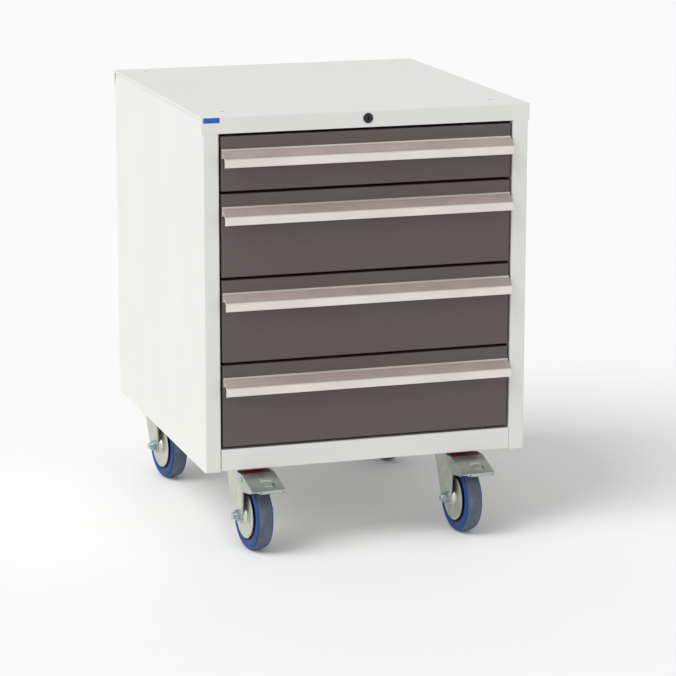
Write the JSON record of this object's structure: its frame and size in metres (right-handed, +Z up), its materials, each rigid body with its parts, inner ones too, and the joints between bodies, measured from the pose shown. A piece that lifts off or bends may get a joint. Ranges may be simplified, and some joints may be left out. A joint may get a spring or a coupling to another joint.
{
  "type": "mobile tool cabinet with drawers",
  "caption": "Mobile steel workshop cabinet with locking full-width drawers on telescopic slides and swivel castors, with pedal brakes at the front.",
  "frame": {"origin": "on the floor at the middle of the footprint: midway between the sides, 300 mm behind the front face", "axes": "+Z up, +X to the right of someone who faces the drawers, +Y towards the back; the drawers open towards -Y"},
  "size_m": [0.6, 0.6993, 0.7835],
  "materials": {
    "grey_paint": "light grey semi-gloss powder coat",
    "dark_paint": "dark taupe-grey powder coat, fine texture",
    "tray_paint": "light grey powder coat",
    "pull_aluminium": "satin anodised extrusion",
    "slide_zinc": "zinc-plated rolled steel",
    "castor_zinc": "zinc-plated pressed steel",
    "fastener_zinc": "bright zinc",
    "tread_rubber": "grey elastic rubber",
    "wheel_blue": "blue moulded polyamide",
    "lock_black": "black"
  },
  "bodies": {
    "cabinet": {"side_panel_left": "grey_paint", "side_panel_right": "grey_paint", "top_panel": "grey_paint", "base_panel": "grey_paint", "back_panel": "grey_paint", "bottom_rail": "grey_paint", "rail_uprights": "slide_zinc", "cabinet_slides": "slide_zinc", "castor_plates": "castor_zinc", "castor_kingpins": "castor_zinc", "castor_bolts": "fastener_zinc", "castor_nuts": "fastener_zinc", "lock_housing": "lock_black", "lock_nut": "fastener_zinc", "lock_bar_guides": "fastener_zinc"},
    "lock_cylinder": {"lock_barrel": "lock_black", "lock_drive_rod": "fastener_zinc"},
    "lock_bar": {"lock_bar": "fastener_zinc"},
    "drawer_1": {"drawer_front_1": "dark_paint", "drawer_tray_1": "tray_paint", "drawer_pull_1": "pull_aluminium", "drawer_slides_1": "slide_zinc"},
    "middle_1": {"middle_slides_1": "slide_zinc"},
    "drawer_2": {"drawer_front_2": "dark_paint", "drawer_tray_2": "tray_paint", "drawer_pull_2": "pull_aluminium", "drawer_slides_2": "slide_zinc"},
    "middle_2": {"middle_slides_2": "slide_zinc"},
    "drawer_3": {"drawer_front_3": "dark_paint", "drawer_tray_3": "tray_paint", "drawer_pull_3": "pull_aluminium", "drawer_slides_3": "slide_zinc"},
    "middle_3": {"middle_slides_3": "slide_zinc"},
    "drawer_4": {"drawer_front_4": "dark_paint", "drawer_tray_4": "tray_paint", "drawer_pull_4": "pull_aluminium", "drawer_slides_4": "slide_zinc"},
    "middle_4": {"middle_slides_4": "slide_zinc"},
    "castor_front_left": {"castor_fork_front_left": "castor_zinc", "thread_guards_front_left": "castor_zinc", "axle_front_left": "fastener_zinc"},
    "wheel_front_left": {"tyre_front_left": "tread_rubber", "wheel_centre_front_left": "wheel_blue"},
    "brake_front_left": {"brake_pedal_front_left": "castor_zinc"},
    "castor_front_right": {"castor_fork_front_right": "castor_zinc", "thread_guards_front_right": "castor_zinc", "axle_front_right": "fastener_zinc"},
    "wheel_front_right": {"tyre_front_right": "tread_rubber", "wheel_centre_front_right": "wheel_blue"},
    "brake_front_right": {"brake_pedal_front_right": "castor_zinc"},
    "castor_rear_left": {"castor_fork_rear_left": "castor_zinc", "thread_guards_rear_left": "castor_zinc", "axle_rear_left": "fastener_zinc"},
    "wheel_rear_left": {"tyre_rear_left": "tread_rubber", "wheel_centre_rear_left": "wheel_blue"},
    "castor_rear_right": {"castor_fork_rear_right": "castor_zinc", "thread_guards_rear_right": "castor_zinc", "axle_rear_right": "fastener_zinc"},
    "wheel_rear_right": {"tyre_rear_right": "tread_rubber", "wheel_centre_rear_right": "wheel_blue"}
  },
  "joints": [
    {"name": "drawer_1_slide", "type": "slide", "parent": "cabinet", "child": "drawer_1", "axis": [0, -1, 0], "range_m": [0, 0.56]},
    {"name": "middle_1_slide", "type": "slide", "parent": "cabinet", "child": "middle_1", "axis": [0, -1, 0], "range_m": [0, 0.28]},
    {"name": "drawer_2_slide", "type": "slide", "parent": "cabinet", "child": "drawer_2", "axis": [0, -1, 0], "range_m": [0, 0.56]},
    {"name": "middle_2_slide", "type": "slide", "parent": "cabinet", "child": "middle_2", "axis": [0, -1, 0], "range_m": [0, 0.28]},
    {"name": "drawer_3_slide", "type": "slide", "parent": "cabinet", "child": "drawer_3", "axis": [0, -1, 0], "range_m": [0, 0.56]},
    {"name": "middle_3_slide", "type": "slide", "parent": "cabinet", "child": "middle_3", "axis": [0, -1, 0], "range_m": [0, 0.28]},
    {"name": "drawer_4_slide", "type": "slide", "parent": "cabinet", "child": "drawer_4", "axis": [0, -1, 0], "range_m": [0, 0.56]},
    {"name": "middle_4_slide", "type": "slide", "parent": "cabinet", "child": "middle_4", "axis": [0, -1, 0], "range_m": [0, 0.28]},
    {"name": "castor_front_left_swivel", "type": "hinge", "parent": "cabinet", "child": "castor_front_left", "pos_m": [-0.206, -0.232, 0.1465], "axis": [0, 0, 1], "continuous": true},
    {"name": "wheel_front_left_spin", "type": "hinge", "parent": "castor_front_left", "child": "wheel_front_left", "pos_m": [-0.20256, -0.26984, 0.0645], "axis": [0.9959, 0.0906, 0], "continuous": true},
    {"name": "brake_front_left_press", "type": "hinge", "parent": "castor_front_left", "child": "brake_front_left", "pos_m": [-0.20074, -0.28976, 0.135], "axis": [0.9959, 0.0906, 0], "range_deg": [0, 5]},
    {"name": "castor_front_right_swivel", "type": "hinge", "parent": "cabinet", "child": "castor_front_right", "pos_m": [0.188, -0.232, 0.1465], "axis": [0, 0, 1], "continuous": true},
    {"name": "wheel_front_right_spin", "type": "hinge", "parent": "castor_front_right", "child": "wheel_front_right", "pos_m": [0.19052, -0.26992, 0.0645], "axis": [0.9978, 0.0663, 0], "continuous": true},
    {"name": "brake_front_right_press", "type": "hinge", "parent": "castor_front_right", "child": "brake_front_right", "pos_m": [0.19184, -0.28987, 0.135], "axis": [0.9978, 0.0663, 0], "range_deg": [0, 5]},
    {"name": "castor_rear_left_swivel", "type": "hinge", "parent": "cabinet", "child": "castor_rear_left", "pos_m": [-0.232, 0.282, 0.1465], "axis": [0, 0, 1], "continuous": true},
    {"name": "wheel_rear_left_spin", "type": "hinge", "parent": "castor_rear_left", "child": "wheel_rear_left", "pos_m": [-0.22737, 0.24428, 0.0645], "axis": [0.9925, 0.1219, 0], "continuous": true},
    {"name": "castor_rear_right_swivel", "type": "hinge", "parent": "cabinet", "child": "castor_rear_right", "pos_m": [0.214, 0.282, 0.1465], "axis": [0, 0, 1], "continuous": true},
    {"name": "wheel_rear_right_spin", "type": "hinge", "parent": "castor_rear_right", "child": "wheel_rear_right", "pos_m": [0.21731, 0.24414, 0.0645], "axis": [0.9962, 0.0872, 0], "continuous": true},
    {"name": "lock_turn", "type": "hinge", "parent": "cabinet", "child": "lock_cylinder", "pos_m": [0, -0.3, 0.7695], "axis": [0, 1, 0], "range_deg": [0, 90]},
    {"name": "lock_bar_lift", "type": "slide", "parent": "cabinet", "child": "lock_bar", "axis": [0, 0, 1], "range_m": [0, 0.01131]}
  ],
  "couplings": [
    {"joint": "middle_1_slide", "follows": "drawer_1_slide", "ratio": 0.5},
    {"joint": "middle_2_slide", "follows": "drawer_2_slide", "ratio": 0.5},
    {"joint": "middle_3_slide", "follows": "drawer_3_slide", "ratio": 0.5},
    {"joint": "middle_4_slide", "follows": "drawer_4_slide", "ratio": 0.5},
    {"joint": "lock_turn", "follows": "lock_bar_lift", "rad_per_m": 138.84}
  ]
}
